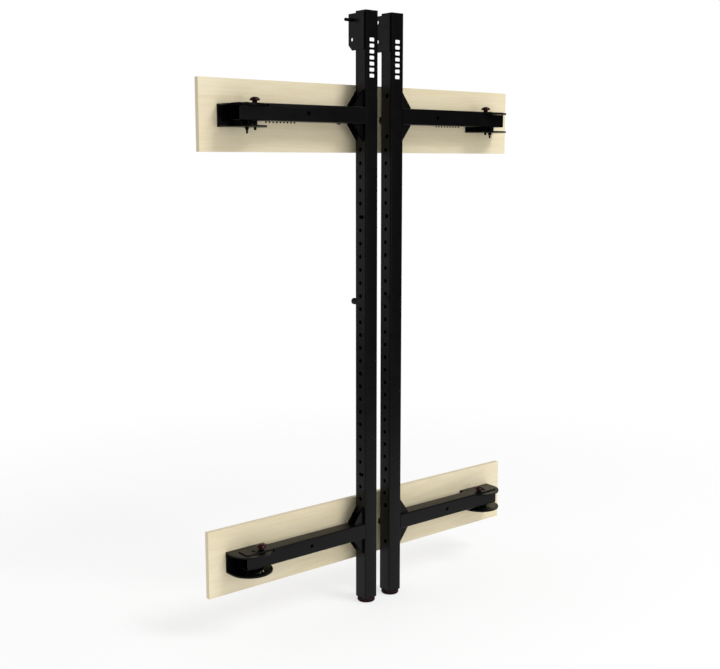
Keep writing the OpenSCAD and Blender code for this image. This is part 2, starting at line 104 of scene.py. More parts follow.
def upward(low, high):
    """The place at the middle of a box's floor, its Z axis up."""
    return Matrix.Translation(((low.x + high.x) / 2, (low.y + high.y) / 2, low.z))


def downward(low, high):
    """The place at the middle of a box's top, its Z axis down."""
    top = Matrix.Translation(((low.x + high.x) / 2, (low.y + high.y) / 2, high.z))
    return top @ Matrix.Rotation(math.pi, 4, "X")


def backward(low, high):
    """The place at the middle of a box's front, its Z axis towards the wall."""
    return along_axis(Vector(((low.x + high.x) / 2, low.y, (low.z + high.z) / 2)), (0, 1, 0))


def sideways(low, high, towards):
    """The place at the middle of a box's side, its Z axis through the box, -1 to the left or 1 to
    the right."""
    x = low.x if towards == 1 else high.x
    return along_axis(Vector((x, (low.y + high.y) / 2, (low.z + high.z) / 2)), (towards, 0, 0))


# ---------------------------------------------------------------- material helpers

class Shader:
    """A Principled material with short calls for the nodes that the recipes below share."""

    def __init__(self, name, **values):
        self.material = bpy.data.materials.new(name)
        self.material.use_nodes = True
        self.tree = self.material.node_tree
        self.principled = self.tree.nodes["Principled BSDF"]
        for socket, value in values.items():
            self.principled.inputs[socket.replace("_", " ")].default_value = value
        self.place = self.node("ShaderNodeTexCoord").outputs["Object"]

    def node(self, kind, **settings):
        made = self.tree.nodes.new(kind)
        for key, value in settings.items():
            setattr(made, key, value)
        return made

    def link(self, source, target):
        self.tree.links.new(source, target)

    def stretched(self, scale):
        """The object's coordinates in metres, multiplied by scale."""
        mapping = self.node("ShaderNodeMapping")
        mapping.inputs["Scale"].default_value = scale
        self.link(self.place, mapping.inputs["Vector"])
        return mapping.outputs["Vector"]

    def noise(self, scale, detail=3.0, roughness=0.5, vector=None, distortion=0.0):
        """Fractal noise from 0 to 1, with about scale features for each metre or unit of vector."""
        made = self.node("ShaderNodeTexNoise")
        made.inputs["Scale"].default_value = scale
        made.inputs["Detail"].default_value = detail
        made.inputs["Roughness"].default_value = roughness
        made.inputs["Distortion"].default_value = distortion
        self.link(vector or self.place, made.inputs["Vector"])
        return made.outputs["Fac"]

    def spots(self, scale):
        """Distance from the nearest of scattered points, with scale of them to the metre."""
        made = self.node("ShaderNodeTexVoronoi")
        made.inputs["Scale"].default_value = scale
        self.link(self.place, made.inputs["Vector"])
        return made.outputs["Distance"]

    def ramp(self, source, *stops):
        """stops are (position, colour or grey)."""
        made = self.node("ShaderNodeValToRGB")
        elements = made.color_ramp.elements
        while len(elements) < len(stops):
            elements.new(0.5)
        for element, (position, value) in zip(elements, stops):
            element.position = position
            colour = value if isinstance(value, tuple) else (value,) * 3
            element.color = (*colour, 1)
        self.link(source, made.inputs["Fac"])
        return made.outputs["Color"]

    def mixed(self, factor, first, second, blend="MIX"):
        made = self.node("ShaderNodeMix", data_type="RGBA", blend_type=blend)
        for socket, value in ((0, factor), (6, first), (7, second)):
            if isinstance(value, bpy.types.NodeSocket):
                self.link(value, made.inputs[socket])
            elif socket == 0:
                made.inputs[socket].default_value = value
            else:
                made.inputs[socket].default_value = (*value, 1)
        return made.outputs[2]

    def math(self, operation, first, second=0.0):
        made = self.node("ShaderNodeMath", operation=operation)
        for socket, value in ((0, first), (1, second)):
            if isinstance(value, bpy.types.NodeSocket):
                self.link(value, made.inputs[socket])
            else:
                made.inputs[socket].default_value = value
        return made.outputs[0]

    def bumps(self, *layers):
        """layers are (height socket, strength, distance in metres), the broadest first."""
        normal = None
        for height, strength, distance in layers:
            made = self.node("ShaderNodeBump")
            made.inputs["Strength"].default_value = strength
            made.inputs["Distance"].default_value = distance
            self.link(height, made.inputs["Height"])
            if normal:
                self.link(normal, made.inputs["Normal"])
            normal = made.outputs["Normal"]
        self.link(normal, self.principled.inputs["Normal"])

    def colour(self, socket):
        self.link(socket, self.principled.inputs["Base Color"])

    def roughness(self, socket):
        self.link(socket, self.principled.inputs["Roughness"])


# ---------------------------------------------------------------- materials

def powder_coat():
    """Satin black powder coat: orange peel, faint mottling and a little handling dust."""
    s = Shader("black_powder_coat", Specular_IOR_Level=0.13)
    mottle = s.noise(9, 4, 0.6)
    grain = s.noise(1500, 2)
    peel = s.noise(420, 3)
    dust = s.ramp(s.noise(38, 6, 0.72), (0.52, 0.0), (0.78, 1.0))
    black = s.ramp(mottle, (0.3, (0.0019, 0.0019, 0.0020)), (0.7, (0.0030, 0.0029, 0.0031)))
    s.colour(s.mixed(s.math("MULTIPLY", dust, 0.35), black, (0.0058, 0.0055, 0.0052)))
    s.roughness(s.ramp(s.noise(26, 5, 0.65), (0.25, 0.27), (0.75, 0.37)))
    s.bumps((peel, 0.22, 0.0004), (grain, 0.12, 0.00015))
    return s.material


def black_plastic():
    """Moulded black plastic with a fine spark-eroded grain."""
    s = Shader("black_plastic", Specular_IOR_Level=0.35)
    s.colour(s.ramp(s.noise(14, 4), (0.3, (0.006, 0.006, 0.0065)), (0.7, (0.009, 0.009, 0.0095))))
    s.roughness(s.ramp(s.noise(60, 4), (0.3, 0.46), (0.7, 0.58)))
    s.bumps((s.noise(900, 3), 0.3, 0.0002))
    return s.material


def red_plastic():
    """Dark red moulded knob, glossier where hands have rubbed it."""
    s = Shader("dark_red_plastic", Specular_IOR_Level=0.3)
    s.colour(s.ramp(s.noise(55, 4),
                    (0.25, (0.017, 0.0013, 0.0034)), (0.75, (0.026, 0.0021, 0.0052))))
    s.roughness(s.ramp(s.noise(120, 4, 0.6), (0.3, 0.24), (0.7, 0.36)))
    s.bumps((s.noise(1100, 2), 0.12, 0.00012))
    return s.material


def red_rubber():
    """Dark red rubber, matt, with a moulded skin."""
    s = Shader("dark_red_rubber", Specular_IOR_Level=0.12)
    s.colour(s.ramp(s.noise(70, 5),
                    (0.25, (0.013, 0.0018, 0.0045)), (0.75, (0.021, 0.0030, 0.0072))))
    s.roughness(s.ramp(s.noise(90, 4), (0.3, 0.42), (0.7, 0.60)))
    s.bumps((s.noise(240, 3), 0.15, 0.0003), (s.noise(1400, 2), 0.2, 0.00012))
    return s.material


def black_rubber():
    """Black rubber with a dusty moulded skin."""
    s = Shader("black_rubber", Specular_IOR_Level=0.35)
    s.colour(s.ramp(s.noise(60, 5), (0.25, (0.005, 0.005, 0.0055)), (0.75, (0.010, 0.010, 0.0105))))
    s.roughness(s.ramp(s.noise(110, 4), (0.3, 0.55), (0.7, 0.72)))
    s.bumps((s.noise(260, 3), 0.15, 0.0003), (s.noise(1400, 2), 0.2, 0.00012))
    return s.material


def black_steel():
    """Black oxide fasteners with a trace of bare metal on worn spots."""
    s = Shader("dark_steel", Metallic=1.0)
    worn = s.ramp(s.noise(210, 6, 0.7), (0.58, 0.0), (0.8, 1.0))
    dark = s.ramp(s.noise(80, 3), (0.3, (0.008, 0.008, 0.009)), (0.7, (0.016, 0.0155, 0.016)))
    s.colour(s.mixed(s.math("MULTIPLY", worn, 0.5), dark, (0.09, 0.086, 0.082)))
    s.roughness(s.ramp(s.noise(160, 4), (0.3, 0.36), (0.7, 0.52)))
    s.bumps((s.noise(1300, 2), 0.12, 0.0001))
    return s.material


def zinc_steel():
    """Zinc-plated steel with a faint spangle."""
    s = Shader("bright_steel", Metallic=1.0)
    s.colour(s.ramp(s.spots(420), (0.0, (0.42, 0.43, 0.44)), (0.6, (0.58, 0.58, 0.57))))
    s.roughness(s.ramp(s.noise(300, 4), (0.3, 0.26), (0.7, 0.42)))
    s.bumps((s.noise(1600, 2), 0.1, 0.0001))
    return s.material


def white_paint():
    """Screen-printed white, a little uneven over the powder coat's texture."""
    s = Shader("white_paint", Specular_IOR_Level=0.3)
    s.colour(s.ramp(s.noise(260, 4), (0.3, (0.80, 0.80, 0.80)), (0.7, (0.90, 0.90, 0.89))))
    s.roughness(s.ramp(s.noise(90, 3), (0.3, 0.42), (0.7, 0.55)))
    s.bumps((s.noise(420, 3), 0.2, 0.0003))
    return s.material


def plywood_face():
    """Pale rotary-cut birch veneer, its grain along the board."""
    s = Shader("plywood_face", Specular_IOR_Level=0.25)
    broad = s.noise(1.0, 4, 0.55, s.stretched((1.1, 1, 7)), 0.8)
    figure = s.noise(1.0, 6, 0.62, s.stretched((3.2, 1, 60)), 1.6)
    fibre = s.noise(1.0, 5, 0.7, s.stretched((26, 8, 900)))
    pores = s.ramp(s.noise(1.0, 3, 0.6, s.stretched((85, 30, 2400))), (0.60, 0.0), (0.72, 1.0))
    tone = s.ramp(broad, (0.30, (0.760, 0.668, 0.462)), (0.70, (0.820, 0.742, 0.550)))
    lines = s.ramp(figure, (0.34, (0.945, 0.925, 0.875)), (0.60, (1.0, 1.0, 1.0)))
    base = s.mixed(1.0, tone, lines, "MULTIPLY")
    threads = s.ramp(fibre, (0.3, (0.955, 0.945, 0.93)), (0.7, (1.0, 1.0, 1.0)))
    base = s.mixed(1.0, base, threads, "MULTIPLY")
    s.colour(s.mixed(s.math("MULTIPLY", pores, 0.16), base, (0.44, 0.33, 0.20)))
    s.roughness(s.ramp(figure, (0.3, 0.58), (0.7, 0.48)))
    s.bumps((figure, 0.05, 0.0004), (fibre, 0.14, 0.00015))
    return s.material


def plywood_edge(first_ply_y, plies, thickness):
    """Sawn plywood edge: alternate plies of long grain and end grain, front to back."""
    s = Shader("plywood_edge", Specular_IOR_Level=0.2)
    split = s.node("ShaderNodeSeparateXYZ")
    s.link(s.place, split.inputs[0])
    wander = s.math("MULTIPLY", s.noise(14, 3), thickness * 0.02)
    depth = s.math("SUBTRACT", s.math("ADD", split.outputs["Y"], wander), first_ply_y)
    phase = s.math("FRACT", s.math("MULTIPLY", depth, plies / thickness / 2))
    layer = s.ramp(
        phase,
        (0.00, (0.50, 0.39, 0.26)), (0.04, (0.760, 0.685, 0.520)),
        (0.46, (0.780, 0.705, 0.540)), (0.50, (0.52, 0.41, 0.28)),
        (0.54, (0.690, 0.590, 0.420)), (0.97, (0.710, 0.610, 0.440)),
    )
    speckle = s.ramp(s.noise(900, 4, 0.7), (0.3, (0.86, 0.84, 0.80)), (0.7, (1.0, 1.0, 1.0)))
    s.colour(s.mixed(1.0, layer, speckle, "MULTIPLY"))
    s.roughness(s.ramp(s.noise(500, 3), (0.3, 0.66), (0.7, 0.80)))
    s.bumps((s.noise(700, 4, 0.7), 0.25, 0.0003))
    return s.material


def shaded_hole_wood(name, dark, light):
    """Wall or seat of a drilled hole, painted dark brown: painted shade of the recess, with a little
    browning from the drill.
    """
    s = Shader(name, Specular_IOR_Level=0.1)
    s.colour(s.ramp(s.noise(700, 4, 0.7), (0.3, dark), (0.7, light)))
    s.roughness(s.ramp(s.noise(300, 3), (0.3, 0.75), (0.7, 0.9)))
    s.bumps((s.noise(900, 4, 0.7), 0.3, 0.0003))
    return s.material


POWDER = powder_coat()
PLASTIC = black_plastic()
RED = red_plastic()
RUBBER = red_rubber()
BLACK_RUBBER = black_rubber()
STEEL = black_steel()
ZINC = zinc_steel()
PAINT = white_paint()
PLY_FACE = plywood_face()
# The hole walls are painted almost black: painted shade of the narrow gap round the counterbore.
SHADED_HOLE_WALL = shaded_hole_wood("shaded_hole_wood", (0.008, 0.005, 0.003), (0.026, 0.016, 0.009))
# The hole seats are painted far darker than the veneer: painted shade at the bottom of the recess.
SHADED_HOLE_SEAT = shaded_hole_wood("shaded_hole_seat", (0.045, 0.029, 0.014), (0.080, 0.052, 0.027))
BOARD_LOW, BOARD_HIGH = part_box("wall_board_upper")
PLIES = 14
PLY_EDGE = plywood_edge(BOARD_LOW.y, PLIES, BOARD_HIGH.y - BOARD_LOW.y)


# ---------------------------------------------------------------- mesh helpers

# Degrees. Where two faces meet at more than this, the edge between them is sharp.
CRISP, SOFT, RIPPLED = 35, 50, 60


def mesh_object(name, bm, materials, body, stands_for=(), smooth_angle=CRISP):
    """Links the bmesh as a piece that rides on body."""
    bmesh.ops.recalc_face_normals(bm, faces=bm.faces)
    mesh = bpy.data.meshes.new(name)
    bm.to_mesh(mesh)
    bm.free()
    for material in materials:
        mesh.materials.append(material)
    mesh.shade_smooth()
    mesh.set_sharp_from_angle(angle=math.radians(smooth_angle))
    piece = bpy.data.objects.new(name, mesh)
    bpy.context.scene.collection.objects.link(piece)
    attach(piece, body)
    if stands_for:
        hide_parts(*stands_for)
    return piece


def stand_in(node, bm, materials, smooth_angle=CRISP):
    """Links the bmesh as the piece that stands for a CAD node and rides on the node's body."""
    return mesh_object(node + "_shape", bm, materials, BODY_OF[node], (node,), smooth_angle)


def ease_edges(piece, width, segments=2):
    bevel = piece.modifiers.new("eased_edges", "BEVEL")
    bevel.limit_method = "ANGLE"
    bevel.angle_limit = math.radians(CRISP)
    bevel.width = width
    bevel.segments = segments
    bevel.use_clamp_overlap = True
    bevel.harden_normals = True


def eased(node, width, materials, segments=2, paint=None):
    """A copy of the CAD node with eased edges, which stands for it. paint gives a face's place in
    materials."""
    bm = welded(node)
    bmesh.ops.dissolve_limit(bm, angle_limit=math.radians(0.6), verts=bm.verts, edges=bm.edges)
    if paint:
        for face in bm.faces:
            face.material_index = paint(face)
    ease_edges(stand_in(node, bm, materials), width, segments)


def hexagon(half_flats, limit=None):
    """A radius that follows a hexagon, cut to limit at its corners."""
    def radius(angle):
        turned = (angle + math.pi / 6) % (math.pi / 3) - math.pi / 6
        flat = half_flats / math.cos(turned)
        return min(flat, limit) if limit else flat
    return radius


def fluted(radius, depth, flutes=48):
    """A radius with shallow scoops all round."""
    def at(angle):
        return radius - depth * (0.5 - 0.5 * math.cos(angle * flutes)) ** 2
    return at


def rounded(centre_r, centre_z, radius, degrees):
    """Profile points on an arc, at these angles from +r towards +z."""
    return [(centre_r + radius * math.cos(angle), centre_z + radius * math.sin(angle))
            for angle in map(math.radians, degrees)]


def add_lathe(bm, profile, place, segments=48, closed=False):
    """Rings of the profile's (radius, z) pairs about the place's Z axis. A radius may be a function
    of the angle, and a radius of 0 is a point. closed joins the last ring to the first."""
    rings = []
    for radius, z in profile:
        if radius == 0:
            rings.append([bm.verts.new(place @ Vector((0, 0, z)))])
            continue
        ring = []
        for i in range(segments):
            angle = 2 * math.pi * i / segments
            r = radius(angle) if callable(radius) else radius
            ring.append(bm.verts.new(place @ Vector((r * math.cos(angle), r * math.sin(angle), z))))
        rings.append(ring)
    pairs = list(zip(rings, rings[1:]))
    if closed:
        pairs.append((rings[-1], rings[0]))
    for low, high in pairs:
        for i in range(segments):
            j = (i + 1) % segments
            if len(low) == 1:
                bm.faces.new((low[0], high[j], high[i]))
            elif len(high) == 1:
                bm.faces.new((low[i], low[j], high[0]))
            else:
                bm.faces.new((low[i], low[j], high[j], high[i]))


def close_open_end(bm):
    """Puts a face across the one open ring of a lathed shape."""
    rim = [vert for vert in bm.verts if any(edge.is_boundary for edge in vert.link_edges)]
    bmesh.ops.contextual_create(bm, geom=rim)


def add_thread(bm, place, radius, bottom, top, pitch):
    """A closed threaded rod from bottom to top, run out at its lower end."""
    depth = pitch * 0.38
    rows_per_turn = 6
    rows = round((top - bottom) / pitch * rows_per_turn)
    profile = []
    for row in range(rows + 1):
        z = bottom + (top - bottom) * row / rows
        run_out = min(1.0, (z - bottom) / pitch)

        def at(angle, z=z, run_out=run_out):
            phase = (z / pitch - angle / (2 * math.pi)) % 1
            return radius - depth * (abs(2 * phase - 1) * run_out + (1 - run_out))
        profile.append((at, z))
    add_lathe(bm, [(0, bottom), *profile, (0, top)], place, 40)


def add_bead(bm, start, end, radius, lean):
    """A weld bead from start to end: overlapping ripples, each leaning back. lean points away from
    the joint."""
    along = end - start
    length = along.length
    along = along.normalized()
    side = along.cross(lean).normalized()
    up = side.cross(along).normalized()
    ripple = radius * 0.85
    rings_per_ripple, around = 5, 10
    flattened, lag = 0.8, 0.225
    steps = max(12, round(length / ripple * rings_per_ripple))
    rings = []
    for i in range(steps + 1):
        t = i / steps
        to_end = min(t, 1 - t) * length
        taper = min(1.0, math.sin(math.pi * to_end / radius / 2.2)) if to_end < radius else 1.0
        swell = 0.84 + 0.16 * abs(math.sin(math.pi * t * length / ripple))
        r = radius * swell * max(taper, 0.25)
        ring = []
        for k in range(around):
            angle = 2 * math.pi * k / around
            sine, cosine = math.sin(angle), math.cos(angle)
            centre = start + along * (t * length - lag * radius * cosine)
            ring.append(bm.verts.new(centre + side * (r * sine) + up * (flattened * r * cosine)))
        rings.append(ring)
    for low, high in zip(rings, rings[1:]):
        for k in range(around):
            m = (k + 1) % around
            bm.faces.new((low[k], low[m], high[m], high[k]))
    bm.faces.new(reversed(rings[0]))
    bm.faces.new(rings[-1])


# ---------------------------------------------------------------- boards

VENEER, SAWN_EDGE, HOLE_WALL, HOLE_SEAT = range(4)


def board_material(face):
    """Which of the board's materials a face has."""
    centre = face.calc_center_median()
    if abs(face.normal.y) > 0.9:
        inside = BOARD_LOW.y + MM < centre.y < BOARD_HIGH.y - MM
        return HOLE_SEAT if inside else VENEER
    at_end = abs(abs(centre.x) - BOARD_HIGH.x) < MM
    level = abs(face.normal.x) < 1e-4 and abs(abs(face.normal.z) - 1) < 1e-4
    wide = face.calc_area() > 100 * MM * MM
    return SAWN_EDGE if (at_end or level) and wide else HOLE_WALL


for level in LEVELS:
    eased(f"wall_board_{level}", 0.8 * MM, [PLY_FACE, PLY_EDGE, SHADED_HOLE_WALL, SHADED_HOLE_SEAT],
          paint=board_material)


# ---------------------------------------------------------------- tubes, plates and caps

for side in SIDES:
    eased(f"upright_{side}", 0.35 * MM, [POWDER])
    eased(f"end_cap_{side}", 1.2 * MM, [PLASTIC], segments=3)
    eased(f"foot_plug_{side}", 0.6 * MM, [PLASTIC])
    eased(f"top_plate_{side}", 0.6 * MM, [POWDER])
    for level in LEVELS:
        eased(f"arm_{level}_{side}", 0.35 * MM, [POWDER])
        eased(f"hinge_bracket_{level}_{side}", 0.8 * MM, [POWDER])


# ---------------------------------------------------------------- gussets

SHEET = 4 * MM      # of the folded gussets, and of a bracket's plate on the board


def folded_gusset(node, side, away):
    """A sheet folded to an open U: a web on the upright and two cheeks that run out along the arm.
    away is 1 above the arm and -1 below it."""
    low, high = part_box(node)
    inner_bend = 2.5 * MM
    outer_bend = 6.5 * MM
    reach, rise = high.x - low.x, high.z - low.z
    half = (high.y - low.y) / 2
    turns = 5
    outer, inner = [], []
    for k in range(turns + 1):
        angle = math.pi / 2 * k / turns
        x, y = 1 - math.cos(angle), 1 - math.sin(angle)
        outer.append((outer_bend * x, half - outer_bend * y))
        inner.append((SHEET + inner_bend * x, half - SHEET - inner_bend * y))
    profile = [(x, -y) for x, y in reversed(outer)] + outer
    profile += [(reach, half), (reach, half - SHEET)]
    profile += list(reversed(inner)) + [(x, -y) for x, y in inner]
    profile += [(reach, SHEET - half), (reach, -half)]
    bm = bmesh.new()
    ends = [[bm.verts.new((x, y, z)) for x, y in profile] for z in (0, rise)]
    count = len(profile)
    for i in range(count):
        j = (i + 1) % count
        bm.faces.new((ends[0][i], ends[0][j], ends[1][j], ends[1][i]))
    bm.faces.new(list(reversed(ends[0])))
    bm.faces.new(ends[1])
    slope_from, slope_to = Vector((reach, 0, SHEET)), Vector((SHEET, 0, rise))
    outside = Vector((slope_to.z - slope_from.z, 0, slope_from.x - slope_to.x))
    cut = bmesh.ops.bisect_plane(bm, geom=bm.verts[:] + bm.edges[:] + bm.faces[:], dist=1e-7,
                                 plane_co=slope_from, plane_no=outside, clear_outer=True)
    bmesh.ops.edgenet_fill(bm, edges=[item for item in cut["geom_cut"]
                                      if isinstance(item, bmesh.types.BMEdge) and item.is_boundary])
    wall_x = low.x if side == "right" else high.x
    arm_z = low.z if away == 1 else high.z
    flip = Matrix.Diagonal((sign_of(side), 1, away, 1))
    bm.transform(Matrix.Translation((wall_x, (low.y + high.y) / 2, arm_z)) @ flip)
    ease_edges(stand_in(node, bm, [POWDER]), 0.7 * MM)


# ---------------------------------------------------------------- welds

BEAD = 2.4 * MM         # a bead's radius
BEAD_LIFT = 0.3 * MM    # from the corner that it fills to its middle
FLANGE = 6 * MM         # of a hinge bracket


def weld(name, body, beads):
    """One piece for beads of (start, end, radius, lean)."""
    bm = bmesh.new()
    for start, end, radius, lean in beads:
        add_bead(bm, Vector(start), Vector(end), radius, Vector(lean))
    mesh_object(name, bm, [POWDER], body, smooth_angle=RIPPLED)


def weld_gusset(side, level, edge, away):
    """Along both cheeks, on the arm."""
    low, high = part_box(f"gusset_{level}_{side}_{edge}")
    z = (low.z if away == 1 else high.z) + away * BEAD_LIFT
    short = 3 * MM
    weld(f"weld_{level}_{side}_{edge}", f"{side}_frame",
         [((low.x + short, y + out * BEAD_LIFT, z), (high.x - short, y + out * BEAD_LIFT, z),
           BEAD, (0, out, away)) for y, out in ((low.y, -1), (high.y, 1))])


def weld_bracket(side, level):
    """Along both flanges, on the plate that they stand on."""
    low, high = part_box(f"hinge_bracket_{level}_{side}")
    y = high.y - SHEET - BEAD_LIFT
    short = 6 * MM
    weld(f"bracket_weld_{level}_{side}", "wall_frame",
         [((low.x + short, y, z + away * BEAD_LIFT), (high.x - short, y, z + away * BEAD_LIFT),
           BEAD, (0, -1, away)) for z, away in ((low.z + FLANGE, 1), (high.z - FLANGE, -1))])


def weld_top_plate(side):
    """Three short beads in the corner between the plate and the upright's back."""
    low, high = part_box(f"top_plate_{side}")
    lift, radius, half = 0.2 * MM, 2.6 * MM, 12 * MM
    x, y = high.x + lift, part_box(f"upright_{side}")[1].y + lift
    middles = [low.z + (high.z - low.z) * share for share in (0.18, 0.5, 0.82)]
    weld(f"plate_weld_{side}", f"{side}_frame",
         [((x, y, z - half), (x, y, z + half), radius, (1, 1, 0)) for z in middles])


for side in SIDES:
    for level in LEVELS:
        for edge, away in (("top", 1), ("bottom", -1)):
            folded_gusset(f"gusset_{level}_{side}_{edge}", side, away)
            weld_gusset(side, level, edge, away)
for side in SIDES:
    for level in LEVELS:
        weld_bracket(side, level)
    weld_top_plate(side)


# ---------------------------------------------------------------- fasteners

M8_THREAD, M8_PITCH, M8_BORE, M8_FLATS = 3.95 * MM, 1.25 * MM, 4.0 * MM, 13 * MM
M10_THREAD, M10_PITCH, M10_BORE, M10_FLATS = 4.95 * MM, 1.5 * MM, 5.0 * MM, 17 * MM
M12_PITCH = 1.75 * MM


def add_nut(bm, place, flats, height, bore, collar=0.0):
    """A hexagon nut on the place's plane, chamfered at both ends, with a collar if it locks."""
    half = flats / 2
    corner = half / math.cos(math.pi / 6)
    body = height - collar
    chamfer = (corner - half) * 0.5
    profile = [
        (bore, 0), (hexagon(half, half * 0.97), 0), (hexagon(half, half * 1.07), chamfer * 0.55),
        (hexagon(half), chamfer * 1.4), (hexagon(half), body - chamfer * 1.4),
        (hexagon(half, half * 1.07), body - chamfer * 0.55), (hexagon(half, half * 0.98), body),
    ]
    if collar:
        ring = half * 0.88
        profile += [(ring, body), (ring, height - collar * 0.4),
                    (ring - collar * 0.3, height - collar * 0.1), (bore * 1.12, height)]
    profile.append((bore, height - 0.4 * MM))
    turned = place @ Matrix.Rotation(math.pi / 6, 4, "Z")
    add_lathe(bm, profile, turned, closed=True)


def add_washer(bm, place, radius, bore, height):
    ease = height * 0.3
    add_lathe(bm, [(bore, ease), (bore + ease, 0), (radius - ease, 0), (radius, ease),
                   (radius, height - ease), (radius - ease, height), (bore + ease, height),
                   (bore, height - ease)], place, closed=True)


def add_button_head(bm, place, radius, height, socket, shank, length):
    """A low domed screw with a hexagon socket. The place's Z runs from its top down the shank."""
    depth = height * 0.55
    dome = [(radius * math.sin(angle), height * 0.8 * (1 - math.cos(angle)))
            for angle in map(math.radians, (28, 42, 56, 68, 80, 90))]
    mouth = dome[0][1]
    profile = [(0, depth * 1.25), (hexagon(socket), depth), (hexagon(socket), mouth + 0.15 * MM),
               (hexagon(socket * 1.08), mouth), *dome, (radius, height * 0.93),
               (radius * 0.97, height), (shank, height), (shank, length - shank * 0.3),
               (shank * 0.75, length), (0, length)]
    add_lathe(bm, profile, place)


def add_cap_head(bm, place, radius, height, socket, shank, length, depth):
    """A cylindrical socket screw, knurled round its head."""
    def knurl(angle):
        return radius * (1 - 0.018 * (0.5 + 0.5 * math.cos(angle * 24)))
    ease = height * 0.12
    profile = [(0, depth * 1.12), (hexagon(socket), depth), (hexagon(socket), 0.3 * MM),
               (hexagon(socket * 1.06), 0), (radius - ease, 0), (knurl, ease),
               (knurl, height * 0.85), (radius * 0.97, height), (shank, height),
               (shank, length - shank * 0.3), (shank * 0.75, length), (0, length)]
    add_lathe(bm, profile, place, 96)


def set_of(node, build, material):
    """One piece for all the like solids of a CAD node. build adds one of them to the mesh."""
    bm = bmesh.new()
    for low, high in solids(node):
        build(bm, low, high)
    stand_in(node, bm, [material])


def bracket_bolt(bm, low, high):
    add_button_head(bm, backward(low, high), (high.x - low.x) / 2, 4 * MM, 2.5 * MM, M8_THREAD,
                    high.y - low.y)


def tee_nut(bm, low, high):
    length, flange = high.y - low.y, (high.x - low.x) / 2
    barrel, bore, plate = 4.95 * MM, M8_BORE, 1.6 * MM
    add_lathe(bm, [(bore, 0.4 * MM), (bore + 0.4 * MM, 0), (barrel, 0), (barrel, length - plate),
                   (flange - 0.3 * MM, length - plate), (flange, length - plate * 0.6),
                   (flange - 0.3 * MM, length), (barrel + 0.8 * MM, length),
                   (bore + 0.5 * MM, length - 0.6 * MM), (bore, length - 1.4 * MM)],
              backward(low, high), closed=True)


def hinge_bolt(bm, low, high):
    """A socket screw from above: its shoulder in the bush, its thread through the lower flange."""
    length, head_r = high.z - low.z, (high.x - low.x) / 2
    head, shoulder, thread, ease = 6 * MM, 5 * MM, 22 * MM, 0.4 * MM
    socket = hexagon(2.5 * MM)
    add_lathe(bm, [(0, head * 0.4), (socket, head * 0.33), (socket, 0.2 * MM),
                   (hexagon(2.7 * MM), 0), (head_r - 0.5 * MM, 0), (head_r, 0.5 * MM),
                   (head_r, head), (shoulder, head), (shoulder, length - thread - ease),
                   (shoulder - ease, length - thread), (0, length - thread)], downward(low, high))
    tip, core, point = upward(low, high), M8_THREAD * 0.82, 0.9 * MM
    add_lathe(bm, [(0, 0), (M8_THREAD * 0.62, 0), (core, point), (core, point + 0.2 * MM),
                   (0, point + 0.2 * MM)], tip, 40)
    add_thread(bm, tip, M8_THREAD, point, thread, M8_PITCH)


def hinge_nut(bm, low, high):
    add_nut(bm, downward(low, high), M8_FLATS, high.z - low.z, M8_BORE, 1.8 * MM)


def hinge_washer(bm, low, high):
    add_washer(bm, upward(low, high), (high.x - low.x) / 2, 4.1 * MM, high.z - low.z)


def hinge_spacer(bm, low, high):
    """A ring with a groove round its middle."""
    radius, height, bore = (high.x - low.x) / 2, high.z - low.z, 5.1 * MM
    ease, corner, groove = 0.6 * MM, 1 * MM, 0.7 * MM
    add_lathe(bm, [(bore, ease), (bore + ease, 0), (radius - corner, 0), (radius, corner),
                   (radius, height * 0.36), (radius - groove, height * 0.42),
                   (radius - groove, height * 0.58), (radius, height * 0.64),
                   (radius, height - corner), (radius - corner, height), (bore + ease, height),
                   (bore, height - ease)], upward(low, high), 64, closed=True)


def pivot_bush(bm, low, high):
    radius, height, bore = (high.x - low.x) / 2, high.z - low.z, 5.05 * MM
    ease, corner = 0.8 * MM, 1 * MM
    add_lathe(bm, [(bore, ease), (bore + ease, 0), (radius - 0.6 * MM, 0), (radius, 0.6 * MM),
                   (radius, height - corner), (radius - corner, height), (bore + ease, height),
                   (bore, height - ease)], upward(low, high), 64, closed=True)


def arm_bolt(side):
    """A cap screw from inside the upright, out through its wall and the gusset's web."""
    def build(bm, low, high):
        length, head_r = high.x - low.x, (high.z - low.z) / 2
        add_cap_head(bm, sideways(low, high, sign_of(side)), head_r, 10 * MM, 4 * MM, 4.55 * MM,
                     length - 15 * MM, 5 * MM)
        tip = sideways(low, high, -sign_of(side))
        point = 1 * MM
        add_lathe(bm, [(0, 0), (3.2 * MM, 0), (4.0 * MM, point), (4.0 * MM, point + 0.3 * MM),
                       (0, point + 0.3 * MM)], tip, 40)
        add_thread(bm, tip, M10_THREAD, point, 16 * MM, M10_PITCH)
    return build


def arm_nut(side):
    def build(bm, low, high):
        add_nut(bm, sideways(low, high, sign_of(side)), M10_FLATS, high.x - low.x, M10_BORE, 2 * MM)
    return build


set_of("bracket_bolts", bracket_bolt, STEEL)
set_of("bracket_tee_nuts", tee_nut, ZINC)
set_of("hinge_bolts", hinge_bolt, STEEL)
set_of("hinge_nuts", hinge_nut, STEEL)
set_of("hinge_washers", hinge_washer, STEEL)
set_of("hinge_spacers", hinge_spacer, STEEL)
for side in SIDES:
    set_of(f"pivot_bushes_{side}", pivot_bush, ZINC)
    set_of(f"arm_bolts_{side}", arm_bolt(side), STEEL)
    set_of(f"arm_nuts_{side}", arm_nut(side), STEEL)


# ---------------------------------------------------------------- lock pins and their knobs

